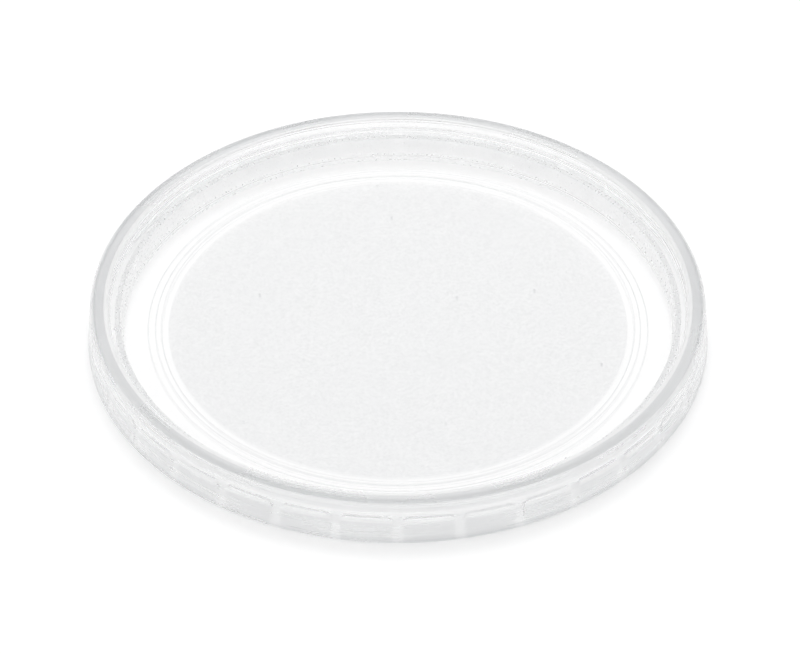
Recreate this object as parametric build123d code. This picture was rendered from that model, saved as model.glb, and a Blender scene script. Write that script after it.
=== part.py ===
"""Large shallow culture dish with a loose vented lid, both clear injection mouldings.

The dish wall runs on down to the bench as a foot rim.  The lid rests on the top edge of that wall through small
vent nubs.  Round the lid is a raised hollow rim: its inner wall carries on under the panel as a lip that centres
the lid on the dish, and its outer wall is a flared skirt that hangs nearly to the bench, with pads on its inside
to stiffen it.  Millimetres, +Z up, origin on the bench at the centre of the dish.
"""

import os
from math import radians, sin

from build123d import *

# Driving dimensions
LID_DIAMETER = 150.0  # outside, across the skirt's open edge
SKIRT_HEIGHT = 11.2  # open edge to the top of the raised rim
BENCH_GAP = 0.4  # under the skirt when the lid is on
SKIRT_FLARE = 0.8  # how much further out the open edge is than the top
WALL = 1.4  # skirt, rim and dish wall
RUNNING_EDGE = 0.3  # small edge round that the moulded corners have

# Lid
SKIRT_BOTTOM_R = LID_DIAMETER / 2
SKIRT_TOP_R = SKIRT_BOTTOM_R - SKIRT_FLARE
LID_TOP = BENCH_GAP + SKIRT_HEIGHT
RIM_WIDTH = 4.4
RIM_HEIGHT = 2.4  # above the panel
RIM_TOP_THICKNESS = 1.2
RIM_INNER_R = SKIRT_TOP_R - RIM_WIDTH
CHANNEL_TOP = LID_TOP - RIM_TOP_THICKNESS
PANEL_THICKNESS = 1.0
PANEL_TOP = LID_TOP - RIM_HEIGHT
PANEL_UNDERSIDE = PANEL_TOP - PANEL_THICKNESS
LIP_DROP = 1.2  # below the panel
SHOULDER_ROUND = 1.4

# Vent nubs, which the lid rests on, and the shorter vestige of the moulding gate
NUB_DIAMETER = 2.0
VENT_HEIGHT = 0.5
VENT_ANGLES = (66.3, 186.3, 306.3)  # anticlockwise from +X
GATE_HEIGHT = 0.35
GATE_ANGLE = 96.4

# Pads inside the skirt
PAD_COUNT = 32
PAD_PITCH = 360 / PAD_COUNT
PAD_SPAN = 9.3  # degrees
PAD_HEIGHT = 5.8
PAD_BOTTOM = BENCH_GAP + 0.9
PAD_PROUD = 0.4
PAD_CORNER = 1.5

# Dish
FLOOR_TOP = 2.9
FLOOR_THICKNESS = 1.2
FLOOR_UNDERSIDE = FLOOR_TOP - FLOOR_THICKNESS
DISH_TOP = PANEL_UNDERSIDE - VENT_HEIGHT
DISH_WALL_R = 67.0  # inside, at the top edge
DISH_FLARE = 0.2  # how much the wall leans out over its height
FLOOR_CORNER = 0.5  # where the wall meets the floor, inside
FOOT_ROUND = 0.4

# Shallow steps in the floor's top face, each a short slope
RING_OUTER_R = 60.6
RING_MIDDLE_R = 58.8
RING_INNER_R = 56.5
RING_RISE = 0.18
RING_SLOPE = 0.6
DISC_R = 55.8
DISC_RISE = 0.1
DISC_SLOPE = 0.4
STEP_ROUND = 0.5


def turned(outline, rounds):
    """Solid turned about Z from (radius, height) points.  rounds maps a point's index to its fillet radius."""
    face = make_face(Polyline(*outline, close=True))
    for index, radius in rounds.items():
        corner = face.vertices().sort_by_distance(Vector(*outline[index]))[0]
        face = fillet(corner, radius)
    return revolve(Plane.XZ * face, Axis.Z)


def skirt_inside_r(height):
    """Radius of the skirt's inner face at a height above the bench."""
    return SKIRT_TOP_R + SKIRT_FLARE * (LID_TOP - height) / SKIRT_HEIGHT - WALL


def lid_shell():
    """Panel, lip, hollow rim and skirt in one turned shell."""
    lip_bottom = PANEL_UNDERSIDE - LIP_DROP
    outline = [
        (0, PANEL_UNDERSIDE),
        (RIM_INNER_R, PANEL_UNDERSIDE),
        (RIM_INNER_R, lip_bottom),
        (RIM_INNER_R + WALL, lip_bottom),
        (RIM_INNER_R + WALL, CHANNEL_TOP),
        (skirt_inside_r(CHANNEL_TOP), CHANNEL_TOP),
        (skirt_inside_r(BENCH_GAP), BENCH_GAP),
        (SKIRT_BOTTOM_R, BENCH_GAP),
        (SKIRT_TOP_R, LID_TOP),
        (RIM_INNER_R, LID_TOP),
        (RIM_INNER_R, PANEL_TOP),
        (0, PANEL_TOP),
    ]
    rounds = {index: RUNNING_EDGE for index in (1, 4, 5, 6, 7)}
    rounds.update({2: 0.4, 3: 0.4, 8: SHOULDER_ROUND, 9: 0.4, 10: 0.5})
    return turned(outline, rounds)


def skirt_pad():
    """One pad on the +X side: a rounded rectangle standing proud of the skirt's inner face."""
    top = PAD_BOTTOM + PAD_HEIGHT
    inner_r = skirt_inside_r(top) - PAD_PROUD
    band = turned(
        [
            (inner_r, PAD_BOTTOM - 0.5),
            (skirt_inside_r(PAD_BOTTOM - 0.5) + WALL / 2, PAD_BOTTOM - 0.5),
            (skirt_inside_r(top + 1) + WALL / 2, top + 1),
            (inner_r, top + 1),
        ],
        {},
    )
    chord = 2 * inner_r * sin(radians(PAD_SPAN / 2))
    face = Plane(origin=(inner_r - 1, 0, PAD_BOTTOM + PAD_HEIGHT / 2), x_dir=(0, 1, 0), z_dir=(1, 0, 0))
    return band & extrude(face * RectangleRounded(chord, PAD_HEIGHT, PAD_CORNER), 2 * WALL + PAD_PROUD)


def nub(height, angle):
    """A nub under the panel, over the middle of the dish wall."""
    base = (Align.CENTER, Align.CENTER, Align.MIN)
    post = Cylinder(NUB_DIAMETER / 2, height + PANEL_THICKNESS / 2, align=base)
    return Rot(0, 0, angle) * Pos(DISH_WALL_R + WALL / 2, 0, PANEL_UNDERSIDE - height) * post


def lid():
    pad = skirt_pad()
    pads = [Rot(0, 0, (k + 0.5) * PAD_PITCH) * pad for k in range(PAD_COUNT)]
    vents = [nub(VENT_HEIGHT, angle) for angle in VENT_ANGLES]
    return lid_shell() + pads + vents + nub(GATE_HEIGHT, GATE_ANGLE)


def dish():
    """Floor with its ringed top face, wall and foot rim in one turned solid."""
    foot_outer_r = DISH_WALL_R + WALL - DISH_FLARE
    first_step, second_step = FLOOR_TOP + RING_RISE, FLOOR_TOP + 2 * RING_RISE
    outline = [
        (0, FLOOR_UNDERSIDE),
        (foot_outer_r - WALL, FLOOR_UNDERSIDE),
        (foot_outer_r - WALL, 0),
        (foot_outer_r, 0),
        (DISH_WALL_R + WALL, DISH_TOP),
        (DISH_WALL_R, DISH_TOP),
        (DISH_WALL_R - DISH_FLARE, FLOOR_TOP),
        (RING_OUTER_R, FLOOR_TOP),
        (RING_OUTER_R - RING_SLOPE, first_step),
        (RING_MIDDLE_R, first_step),
        (RING_MIDDLE_R - RING_SLOPE, second_step),
        (RING_INNER_R + 2 * RING_SLOPE, second_step),
        (RING_INNER_R, FLOOR_TOP),
        (DISC_R, FLOOR_TOP),
        (DISC_R - DISC_SLOPE, FLOOR_TOP + DISC_RISE),
        (0, FLOOR_TOP + DISC_RISE),
    ]
    rounds = {1: FOOT_ROUND, 2: FOOT_ROUND, 3: FOOT_ROUND, 4: RUNNING_EDGE, 5: RUNNING_EDGE, 6: FLOOR_CORNER}
    rounds.update({index: STEP_ROUND for index in (7, 8, 9, 10, 11, 12)})
    return turned(outline, rounds)


os.makedirs("parts", exist_ok=True)
export_step(dish(), "parts/dish.step")
export_step(lid(), "parts/lid.step")
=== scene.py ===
"""Clear culture dish with its loose vented lid, on a white sweep under soft high-key light.

Both mouldings are turned from a profile with many more steps than the frame has, so that they refract cleanly.
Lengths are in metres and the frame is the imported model's: origin on the bench, +Z up.
"""

import math

import bpy
import numpy as np
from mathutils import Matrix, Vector


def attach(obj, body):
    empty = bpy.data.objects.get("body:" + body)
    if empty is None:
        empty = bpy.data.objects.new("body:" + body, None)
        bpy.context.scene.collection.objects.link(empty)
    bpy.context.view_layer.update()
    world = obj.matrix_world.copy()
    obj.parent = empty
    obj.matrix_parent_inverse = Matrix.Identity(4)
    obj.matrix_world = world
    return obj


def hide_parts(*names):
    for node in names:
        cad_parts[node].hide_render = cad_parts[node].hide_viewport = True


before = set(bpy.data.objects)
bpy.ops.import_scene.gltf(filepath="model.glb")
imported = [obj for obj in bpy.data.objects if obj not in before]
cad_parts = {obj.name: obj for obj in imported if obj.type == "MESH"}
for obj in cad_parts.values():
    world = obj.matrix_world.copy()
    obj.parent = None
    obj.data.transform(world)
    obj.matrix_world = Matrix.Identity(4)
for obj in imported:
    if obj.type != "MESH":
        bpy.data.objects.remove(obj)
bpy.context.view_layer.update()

MM = 0.001

# Sizes of the mouldings, in millimetres, as the frame has them
LID_TOP, BENCH_GAP, PANEL_TOP, PANEL_UNDERSIDE = 11.6, 0.4, 9.2, 8.2
SKIRT_TOP_R, SKIRT_BOTTOM_R, WALL = 74.2, 75.0, 1.4
RIM_INNER_R, RIM_TOP_THICKNESS, LIP_DROP = 69.8, 1.2, 1.2
DISH_TOP, FLOOR_TOP, FLOOR_UNDERSIDE = 7.7, 2.9, 1.7
DISH_WALL_R, DISH_FLARE = 67.0, 0.2
RING_OUTER_R, RING_MIDDLE_R, RING_INNER_R, RING_RISE, RING_SLOPE = 60.6, 58.8, 56.5, 0.18, 0.6
DISC_R, DISC_RISE, DISC_SLOPE = 55.8, 0.1, 0.4
PAD_COUNT, PAD_SPAN = 32, 9.3
PAD_LOW, PAD_HIGH, PAD_PROUD, PAD_CORNER = 1.3, 7.1, 0.4, 1.5
PAD_SOFT = 0.7  # half the width of a pad's soft edge
PRESSED_TO = 8  # the skirt's inner face is pressed into pads below this height
NUBS = ((66.3, 0.48), (186.3, 0.48), (306.3, 0.48), (96.4, 0.35))  # angle in degrees, height
NUB_R, NUB_EDGE = 1.1, 0.6  # the edge is the slope from a nub's flat to the panel
NUB_CIRCLE_R = DISH_WALL_R + WALL / 2
RUNNING_EDGE, SHOULDER_ROUND, FOOT_ROUND, FLOOR_CORNER, STEP_ROUND = 0.3, 1.4, 0.4, 0.5, 0.5

# Steps of the meshes, in millimetres and degrees
HOLD = 0.04  # from a corner to the point that keeps the flat beside it flat
LONG_RUN = 0.6  # a run over this length is held at both ends
NUB_RUN, NUB_STEP, SKIRT_STEP = 1.25, 0.12, 0.17
FINE_REACH, FINE_TURN, COARSE_TURN, DISH_TURN = 2.4, 0.16, 1.1, 0.5

# Looks of the plastic.  Radii and heights are in millimetres, and each roughness is a range that noise moves over.
PLASTIC_IOR = 1.5
# the grey that tone paints into the plastic: painted shade on the lid's rim and skirt and on the dish's wall, top
# edge and ring lines, and the dish disc's own frosted grey
SHADE_AND_FROST_GREY = (0.40, 0.415, 0.43, 1)
# Painted shade on the lid: grey painted on the rim top, in a band under the shoulder, in a band between the pads and
# over the lower skirt.
RIM_TOP_SHADE_MIDDLE, RIM_TOP_SHADE_REACH = 72.5, 1.55
SHOULDER_SHADE_HEIGHT, SHOULDER_SHADE_REACH = 10.0, 0.6
SHADE_BETWEEN_PADS_HEIGHT, SHADE_BETWEEN_PADS_REACH = 6.9, 0.9
LOW_SHADE_FULL, LOW_SHADE_NONE = 5.9, 6.5
STREAKS_PER_METRE = (40, 40, 700)
LID_ROUGHNESS = 0.25, 0.31
DISH_WALL_NONE, DISH_WALL_FULL = 65.6, 66.4
GRAINS_PER_METRE = (1500, 1500, 1500)
DISH_ROUGHNESS = 0.27, 0.33
SPECKS_PER_METRE, SPECK_R = 60, 0.00045  # speck radius in metres
RELIEF = 0.000002  # metres, height of the mould's own surface grain
FLATS_PASS, WALLS_PASS = (0.97, 0.97, 0.97, 1), (0.77, 0.77, 0.77, 1)  # share of a lamp's light let through

# Floor, light and camera
FLOOR_CLEARANCE = 0.00003  # metres of air under the dish's foot, so that the two faces aren't one plane
KEY_PLACE, KEY_SIZE, KEY_POWER = (0.0, 0.5, 1.05), 0.45, 3.6
CAMERA_LENS, CAMERA_TILT, CAMERA_DISTANCE = 248, math.radians(40.2), 1.33
CAMERA_AIM = Vector((0.0005, -0.0036, 0.0058))
BOUNCES = 128  # with far fewer, light trapped in the walls ends early and leaves black lines


# Turned shapes


def rounded(outline, rounds, steps=7):
    """The (radius, height) outline with its corners rounded.  rounds maps a corner's index to a radius."""
    path = []
    for index, point in enumerate(outline):
        here = np.array(point, float)
        radius = rounds.get(index, 0)
        if not radius:
            path.append(here)
            continue
        back = np.array(outline[index - 1], float) - here
        ahead = np.array(outline[index + 1], float) - here
        back, ahead = back / np.linalg.norm(back), ahead / np.linalg.norm(ahead)
        half = math.acos(np.clip(back @ ahead, -1, 1)) / 2
        reach = radius / math.tan(half)
        centre = here + (back + ahead) / np.linalg.norm(back + ahead) * radius / math.sin(half)
        first, last = here + back * reach - centre, here + ahead * reach - centre
        turn = math.pi - 2 * half
        path.append(centre + first + back * HOLD)
        for k in range(steps + 1):
            t = k / steps
            path.append(centre + (math.sin((1 - t) * turn) * first + math.sin(t * turn) * last) / math.sin(turn))
        path.append(centre + last + ahead * HOLD)
    return path


def filled(path, start, end, step):
    """The path with the straight run between two of its heights or radii cut into short steps."""
    first = min(range(len(path)), key=lambda k: np.linalg.norm(path[k] - np.array(start)))
    last = min(range(len(path)), key=lambda k: np.linalg.norm(path[k] - np.array(end)))
    count = max(2, int(np.linalg.norm(path[last] - path[first]) / step))
    run = [path[first] + (path[last] - path[first]) * k / count for k in range(count + 1)]
    return path[:first] + run + path[last + 1 :]


def turning_angles(centres, reach, fine, coarse):
    """Angles round the circle in degrees, closely spaced within reach of each centre."""
    marks = set()
    for centre in centres:
        for k in range(-round(reach / fine), round(reach / fine) + 1):
            marks.add(round((centre + k * fine) % 360, 4))
    marks = sorted(marks)
    angles = []
    for a, b in zip(marks, marks[1:] + [marks[0] + 360]):
        count = max(1, math.ceil((b - a) / coarse)) if b - a > fine * 1.5 else 1
        angles += [a + (b - a) * k / count for k in range(count)]
    return np.radians(angles)


def held(path):
    """The path with a point close to each end of every long run, so that flats stay flat when shaded smooth.

    None goes beside the axis, where a ring that small would be slivers with unsteady normals."""
    points = [path[0]]
    for here, ahead in zip(path, path[1:]):
        run = np.array(ahead) - np.array(here)
        length = np.linalg.norm(run)
        if length > LONG_RUN:
            holds = here + run * HOLD / length, ahead - run * HOLD / length
            points += [hold for hold, end in zip(holds, (here, ahead)) if end[0] > 0]
        points.append(ahead)
    return points


def turned(name, path, angles, press=None):
    """A closed smooth mesh turned about Z from a path that starts and ends on the axis.

    press(radius, height, angle) gives each ring's own radius and height round the circle."""
    count = len(angles)
    verts = [(0, 0, path[0][1] * MM)]
    for radius, height in path[1:-1]:
        r, z = np.full(count, radius), np.full(count, height)
        if press:
            r, z = press(r, z, angles)
        verts += list(zip(r * np.cos(angles) * MM, r * np.sin(angles) * MM, z * MM))
    verts.append((0, 0, path[-1][1] * MM))
    rings = len(path) - 2
    faces = []
    for k in range(count):
        n = (k + 1) % count
        faces.append((0, 1 + n, 1 + k))
        for ring in range(rings - 1):
            a, b = 1 + ring * count, 1 + (ring + 1) * count
            faces.append((a + k, a + n, b + n, b + k))
        last = 1 + (rings - 1) * count
        faces.append((last + k, last + n, len(verts) - 1))
    mesh = bpy.data.meshes.new(name)
    mesh.from_pydata(verts, [], faces)
    mesh.validate()
    mesh.shade_smooth()
    piece = bpy.data.objects.new(name, mesh)
    bpy.context.scene.collection.objects.link(piece)
    return piece


def smooth_step(edge_low, edge_high, value):
    t = np.clip((value - edge_low) / (edge_high - edge_low), 0, 1)
    return t * t * (3 - 2 * t)


# The lid


def skirt_inside_r(height):
    return SKIRT_TOP_R + (SKIRT_BOTTOM_R - SKIRT_TOP_R) * (LID_TOP - height) / (LID_TOP - BENCH_GAP) - WALL


def pad_cover(height, angle):
    """1 on a pad, 0 between pads, with a rounded edge between: a rounded rectangle unrolled."""
    pitch = 2 * math.pi / PAD_COUNT
    across = np.abs((angle % pitch) - pitch / 2) * skirt_inside_r(height)
    along = np.abs(height - (PAD_LOW + PAD_HIGH) / 2)
    half_w = math.radians(PAD_SPAN / 2) * SKIRT_BOTTOM_R - PAD_CORNER
    half_h = (PAD_HIGH - PAD_LOW) / 2 - PAD_CORNER
    dx, dy = np.maximum(across - half_w, 0), np.maximum(along - half_h, 0)
    return 1 - smooth_step(-PAD_SOFT, PAD_SOFT, np.hypot(dx, dy) - PAD_CORNER)


def press_lid(r, z, angle):
    """Pads on the skirt's inner face, and nubs under the panel over the dish wall."""
    on_skirt = (np.abs(r - skirt_inside_r(z)) < 0.01) & (z < PRESSED_TO)
    r = np.where(on_skirt, r - PAD_PROUD * pad_cover(z, angle), r)
    under = np.abs(z - PANEL_UNDERSIDE) < 0.001
    for nub, height in NUBS:
        away = np.abs((angle - math.radians(nub) + math.pi) % (2 * math.pi) - math.pi)
        reach = np.hypot(r - NUB_CIRCLE_R, away * r)
        z = np.where(under, z - height * (1 - smooth_step(NUB_R - NUB_EDGE, NUB_R, reach)), z)
    return r, z


def make_lid():
    channel_top = LID_TOP - RIM_TOP_THICKNESS
    outline = [
        (0, PANEL_UNDERSIDE),
        (RIM_INNER_R, PANEL_UNDERSIDE),
        (RIM_INNER_R, PANEL_UNDERSIDE - LIP_DROP),
        (RIM_INNER_R + WALL, PANEL_UNDERSIDE - LIP_DROP),
        (RIM_INNER_R + WALL, channel_top),
        (skirt_inside_r(channel_top), channel_top),
        (skirt_inside_r(BENCH_GAP), BENCH_GAP),
        (SKIRT_BOTTOM_R, BENCH_GAP),
        (SKIRT_TOP_R, LID_TOP),
        (RIM_INNER_R, LID_TOP),
        (RIM_INNER_R, PANEL_TOP),
        (0, PANEL_TOP),
    ]
    rounds = {index: RUNNING_EDGE for index in (1, 4, 5, 6, 7)}
    rounds.update({2: 0.4, 3: 0.4, 8: SHOULDER_ROUND, 9: 0.4, 10: 0.5})
    path = rounded(outline, rounds)
    nub_run = (NUB_CIRCLE_R - NUB_RUN, PANEL_UNDERSIDE), (NUB_CIRCLE_R + NUB_RUN, PANEL_UNDERSIDE)
    path = [path[0], np.array(nub_run[0]), np.array(nub_run[1])] + path[1:]
    path = filled(path, *nub_run, NUB_STEP)
    skirt_run = [(skirt_inside_r(z), z) for z in (channel_top - RUNNING_EDGE, BENCH_GAP + RUNNING_EDGE)]
    path = filled(path, *skirt_run, SKIRT_STEP)
    gaps = [k * 360 / PAD_COUNT for k in range(PAD_COUNT)]
    angles = turning_angles(gaps + [angle for angle, _ in NUBS], FINE_REACH, FINE_TURN, COARSE_TURN)
    return turned("lid_moulding", held(path), angles, press_lid)


# The dish


def make_dish():
    heel_r = DISH_WALL_R + WALL - DISH_FLARE
    outline = [
        (0, FLOOR_UNDERSIDE),
        (heel_r - WALL, FLOOR_UNDERSIDE),
        (heel_r - WALL, 0),
        (heel_r, 0),
        (DISH_WALL_R + WALL, DISH_TOP),
        (DISH_WALL_R, DISH_TOP),
        (DISH_WALL_R - DISH_FLARE, FLOOR_TOP),
        (RING_OUTER_R, FLOOR_TOP),
        (RING_OUTER_R - RING_SLOPE, FLOOR_TOP + RING_RISE),
        (RING_MIDDLE_R, FLOOR_TOP + RING_RISE),
        (RING_MIDDLE_R - RING_SLOPE, FLOOR_TOP + 2 * RING_RISE),
        (RING_INNER_R + 2 * RING_SLOPE, FLOOR_TOP + 2 * RING_RISE),
        (RING_INNER_R, FLOOR_TOP),
        (DISC_R, FLOOR_TOP),
        (DISC_R - DISC_SLOPE, FLOOR_TOP + DISC_RISE),
        (0, FLOOR_TOP + DISC_RISE),
    ]
    rounds = {1: FOOT_ROUND, 2: FOOT_ROUND, 3: FOOT_ROUND, 4: RUNNING_EDGE, 5: RUNNING_EDGE, 6: FLOOR_CORNER}
    rounds.update({index: STEP_ROUND for index in (7, 8, 9, 10, 11, 12)})
    return turned("dish_moulding", held(rounded(outline, rounds)), np.radians(np.arange(0, 360, DISH_TURN)))


# Materials


def node(tree, kind, **values):
    made = tree.nodes.new(kind)
    for name, value in values.items():
        if name in made.inputs:
            made.inputs[name].default_value = value
        else:
            setattr(made, name, value)
    return made


def feed(tree, value, socket):
    """Link a node's output into a socket, or set a plain number there."""
    if isinstance(value, bpy.types.NodeSocket):
        tree.links.new(value, socket)
    else:
        socket.default_value = value


def calc(tree, operation, first, second=0.0):
    made = node(tree, "ShaderNodeMath", operation=operation)
    feed(tree, first, made.inputs[0])
    feed(tree, second, made.inputs[1])
    return made.outputs[0]


def remap(tree, value, low, high, to_low=0.0, to_high=1.0):
    made = node(tree, "ShaderNodeMapRange", interpolation_type="SMOOTHSTEP")
    for name, number in (("From Min", low), ("From Max", high), ("To Min", to_low), ("To Max", to_high)):
        made.inputs[name].default_value = number
    tree.links.new(value, made.inputs["Value"])
    return made.outputs["Result"]


def band(tree, value, middle, reach, soft):
    """1 within reach of middle, falling to 0 over a soft edge centred on it."""
    away = calc(tree, "ABSOLUTE", calc(tree, "SUBTRACT", value, middle))
    return remap(tree, away, reach - soft / 2, reach + soft / 2, 1.0, 0.0)


def noise(tree, place, scale, detail=2.0):
    """Noise from 0 to 1 over the object's own space, with scale in features per metre along each axis."""
    stretched = node(tree, "ShaderNodeVectorMath", operation="MULTIPLY")
    stretched.inputs[1].default_value = scale
    tree.links.new(place, stretched.inputs[0])
    made = node(tree, "ShaderNodeTexNoise", Scale=1.0, Detail=detail)
    tree.links.new(stretched.outputs["Vector"], made.inputs["Vector"])
    return made.outputs["Fac"]


def specks(tree, place, per_metre, size):
    """1 on small round specks strewn over X and Y, one to a cell, each fainter or stronger by chance."""
    cells = node(tree, "ShaderNodeTexVoronoi", voronoi_dimensions="2D", Scale=per_metre)
    tree.links.new(place, cells.inputs["Vector"])
    chance = node(tree, "ShaderNodeSeparateColor")
    tree.links.new(cells.outputs["Color"], chance.inputs["Color"])
    spot = remap(tree, cells.outputs["Distance"], size * per_metre / 2, size * per_metre, 1.0, 0.0)
    return calc(tree, "MULTIPLY", spot, remap(tree, chance.outputs["Red"], 0.4, 1.0))


class Place:
    """Where a shading point lies on a moulding: its object coordinates, radius and height in mm, and angle."""

    def __init__(self, tree):
        self.point = node(tree, "ShaderNodeTexCoord").outputs["Object"]
        split = node(tree, "ShaderNodeSeparateXYZ")
        tree.links.new(self.point, split.inputs["Vector"])
        x, y, z = split.outputs
        across = calc(tree, "SQRT", calc(tree, "ADD", calc(tree, "MULTIPLY", x, x), calc(tree, "MULTIPLY", y, y)))
        self.radius = calc(tree, "MULTIPLY", across, 1000)
        self.height = calc(tree, "MULTIPLY", z, 1000)
        self.angle = calc(tree, "ARCTAN2", y, x)


def blend(tree, factor, first, second):
    """A colour from first to second as factor goes from 0 to 1."""
    made = node(tree, "ShaderNodeMix", data_type="RGBA")
    tree.links.new(factor, made.inputs[0])
    made.inputs[6].default_value = first
    made.inputs[7].default_value = second
    return made.outputs[2]


def add_up(tree, *terms):
    """The sum of mask and weight pairs."""
    total = 0.0
    for mask, weight in terms:
        total = calc(tree, "ADD", total, calc(tree, "MULTIPLY", mask, weight))
    return total


def lid_looks(tree, place):
    """Tone, haze, wall mask and relief of the lid: a polished panel, then a hazier, streaked rim and skirt. Its tone
    is painted shade: grey painted on the rim top, in bands round the skirt, between and on the pads and along the
    bottom edge, and faintly over the walls, varied by the streaks.
    """
    wall = remap(tree, place.radius, RIM_INNER_R - 0.6, RIM_INNER_R + 0.1)
    skirt = remap(tree, place.radius, SKIRT_TOP_R - WALL - 0.4, SKIRT_TOP_R - WALL)
    # Painted shade: grey painted on the flat rim top.
    top = calc(
        tree,
        "MULTIPLY",
        band(tree, place.radius, RIM_TOP_SHADE_MIDDLE, RIM_TOP_SHADE_REACH, 0.3),
        remap(tree, place.height, LID_TOP - 0.2, LID_TOP - 0.1),
    )
    turn = calc(tree, "FRACT", calc(tree, "MULTIPLY", place.angle, PAD_COUNT / (2 * math.pi)))
    across = band(tree, turn, 0.5, PAD_SPAN * PAD_COUNT / 720, 0.07)
    between = calc(tree, "SUBTRACT", 1.0, across)
    # Painted shade on the skirt: grey in a band under the shoulder, over the lower skirt, in a band between the
    # pads, on the pads' lower parts and along the bottom edge.
    shoulder_shade = band(tree, place.height, SHOULDER_SHADE_HEIGHT, SHOULDER_SHADE_REACH, 0.5)
    low = remap(tree, place.height, LOW_SHADE_FULL, LOW_SHADE_NONE, 1.0, 0.0)
    shade_between_pads = calc(tree, "MULTIPLY", between, band(tree, place.height, SHADE_BETWEEN_PADS_HEIGHT, SHADE_BETWEEN_PADS_REACH, 0.8))
    pad = calc(tree, "MULTIPLY", across, low)
    edge = remap(tree, place.height, BENCH_GAP + 0.6, BENCH_GAP + 1.0, 1.0, 0.0)
    skirt_shade_bands = add_up(tree, (shoulder_shade, 0.18), (low, 0.1), (shade_between_pads, 0.16), (pad, 0.13), (edge, 0.22))
    flow = noise(tree, place.point, STREAKS_PER_METRE)
    # Noise streaks the painted shade on the skirt; the same noise moves the roughness and the relief.
    shade_streaks = remap(tree, flow, 0.3, 0.7, 0.75, 1.25)
    skirt_painted_shade = calc(tree, "MULTIPLY", calc(tree, "MULTIPLY", skirt, skirt_shade_bands), shade_streaks)
    tone = add_up(tree, (wall, 0.02), (top, 0.52), (skirt_painted_shade, 1.0))
    haze = calc(tree, "MULTIPLY", wall, remap(tree, flow, 0.3, 0.7, *LID_ROUGHNESS))
    return tone, haze, wall, flow


def dish_looks(tree, place):
    """Tone, haze, wall mask and relief of the dish: a hazier wall, a finely grained, specked disc, and painted
    shade: grey painted faintly over the wall, on its top edge and in thin lines at the ring steps.
    """
    wall = remap(tree, place.radius, DISH_WALL_NONE, DISH_WALL_FULL)
    # Painted shade: grey along the wall's top edge.
    edge = calc(tree, "MULTIPLY", wall, remap(tree, place.height, DISH_TOP - 0.4, DISH_TOP - 0.2))
    disc = remap(tree, place.radius, DISC_R - 0.5, DISC_R - 0.1, 1.0, 0.0)
    grain = noise(tree, place.point, GRAINS_PER_METRE, 4.0)
    mottle = remap(tree, grain, 0.35, 0.65, 0.10, 0.22)
    specked = calc(tree, "MULTIPLY", disc, specks(tree, place.point, SPECKS_PER_METRE, SPECK_R))
    # The disc's mottle and specks are its own frosted grain and specks; the wall, edge and ring terms are painted
    # shade.
    terms = [(wall, 0.03), (edge, 0.26), (disc, mottle), (specked, 0.45)]
    # Painted shade: a thin grey line at each ring step.
    for radius in (RING_OUTER_R - 0.2, RING_MIDDLE_R - 0.2, RING_INNER_R + 0.8):
        terms.append((band(tree, place.radius, radius, 0.15, 0.2), 0.3))
    haze = calc(tree, "MULTIPLY", wall, remap(tree, grain, 0.35, 0.65, *DISH_ROUGHNESS))
    return add_up(tree, *terms), haze, wall, grain


def let_lamps_through(tree, shader, wall):
    """Let the lamps light what lies behind the plastic: nearly all through the flats, less through the walls."""
    through = node(tree, "ShaderNodeBsdfTransparent")
    tree.links.new(blend(tree, wall, FLATS_PASS, WALLS_PASS), through.inputs["Color"])
    mix = node(tree, "ShaderNodeMixShader")
    tree.links.new(node(tree, "ShaderNodeLightPath").outputs["Is Shadow Ray"], mix.inputs["Fac"])
    tree.links.new(shader.outputs["BSDF"], mix.inputs[1])
    tree.links.new(through.outputs["BSDF"], mix.inputs[2])
    tree.links.new(mix.outputs["Shader"], tree.nodes["Material Output"].inputs["Surface"])


def clear_plastic(name, looks):
    """Clear moulded plastic, with grey painted into its colour: painted shade, and the frosting of the dish's disc.

    looks gives its tone, from 0 for water clear to 1 for grey, its roughness, a mask of its walls and its relief."""
    material = bpy.data.materials.new(name)
    material.use_nodes = True
    tree = material.node_tree
    shader = tree.nodes["Principled BSDF"]
    shader.inputs["Transmission Weight"].default_value = 1.0
    shader.inputs["IOR"].default_value = PLASTIC_IOR
    tone, haze, wall, relief = looks(tree, Place(tree))
    # Tone paints grey into the base colour: painted shade, and on the dish's disc its own frosting.
    tint = blend(tree, tone, (1.0, 1.0, 1.0, 1), SHADE_AND_FROST_GREY)
    tree.links.new(tint, shader.inputs["Base Color"])
    tree.links.new(haze, shader.inputs["Roughness"])
    bump = node(tree, "ShaderNodeBump", Strength=1.0, Distance=RELIEF)
    tree.links.new(relief, bump.inputs["Height"])
    tree.links.new(bump.outputs["Normal"], shader.inputs["Normal"])
    absorb = node(tree, "ShaderNodeVolumeAbsorption", Density=1.2)
    absorb.inputs["Color"].default_value = (0.0, 0.03, 0.04, 1)
    tree.links.new(absorb.outputs["Volume"], tree.nodes["Material Output"].inputs["Volume"])
    let_lamps_through(tree, shader, wall)
    return material


def place_mouldings():
    for piece, part, looks in ((make_lid(), "lid", lid_looks), (make_dish(), "dish", dish_looks)):
        slot = part + "_clear"
        piece.data.materials.append(clear_plastic(slot, looks))
        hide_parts(part)
        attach(piece, part)


# Floor, light and camera


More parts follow.
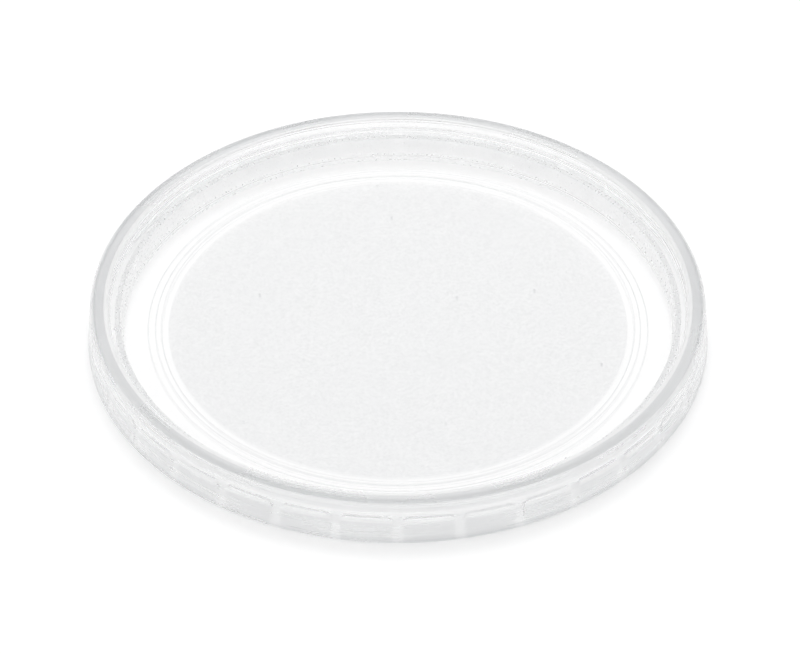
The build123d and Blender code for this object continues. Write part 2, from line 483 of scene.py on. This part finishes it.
def make_floor():
    bpy.ops.mesh.primitive_plane_add(size=6, location=(0, 0, -FLOOR_CLEARANCE))
    floor = bpy.context.object
    floor.name = "floor"
    material = bpy.data.materials.new("white_sweep")
    material.use_nodes = True
    shader = material.node_tree.nodes["Principled BSDF"]
    shader.inputs["Base Color"].default_value = (0.9, 0.9, 0.9, 1)
    shader.inputs["Roughness"].default_value = 0.9
    shader.inputs["Specular IOR Level"].default_value = 0.0
    floor.data.materials.append(material)


def make_world():
    world = bpy.data.worlds.new("studio")
    bpy.context.scene.world = world
    world.use_nodes = True
    background = world.node_tree.nodes["Background"]
    background.inputs["Color"].default_value = (1, 1, 1, 1)
    background.inputs["Strength"].default_value = 0.975


def area_light(name, place, size, power):
    light = bpy.data.lights.new(name, "AREA")
    light.shape, light.size, light.energy = "DISK", size, power
    lamp = bpy.data.objects.new(name, light)
    lamp.location = place
    lamp.rotation_mode = "QUATERNION"
    lamp.rotation_quaternion = (-Vector(place)).to_track_quat("-Z", "Y")
    lamp.visible_transmission = lamp.visible_glossy = False
    bpy.context.scene.collection.objects.link(lamp)


def make_camera():
    data = bpy.data.cameras.new("camera")
    data.lens = CAMERA_LENS
    camera = bpy.data.objects.new("camera", data)
    back = Vector((0, -math.cos(CAMERA_TILT), math.sin(CAMERA_TILT)))
    camera.location = CAMERA_AIM + back * CAMERA_DISTANCE
    camera.rotation_mode = "QUATERNION"
    camera.rotation_quaternion = (-back).to_track_quat("-Z", "Y")
    data.clip_start, data.clip_end = 0.05, 20
    bpy.context.scene.collection.objects.link(camera)
    bpy.context.scene.camera = camera


def set_light_paths():
    scene = bpy.context.scene
    scene.view_settings.view_transform = "Standard"
    scene.cycles.blur_glossy = 0.0
    scene.cycles.max_bounces = BOUNCES
    scene.cycles.transmission_bounces = BOUNCES
    scene.cycles.glossy_bounces = BOUNCES
    scene.cycles.transparent_max_bounces = 32


place_mouldings()
make_floor()
make_world()
area_light("key", KEY_PLACE, KEY_SIZE, KEY_POWER)
make_camera()
set_light_paths()
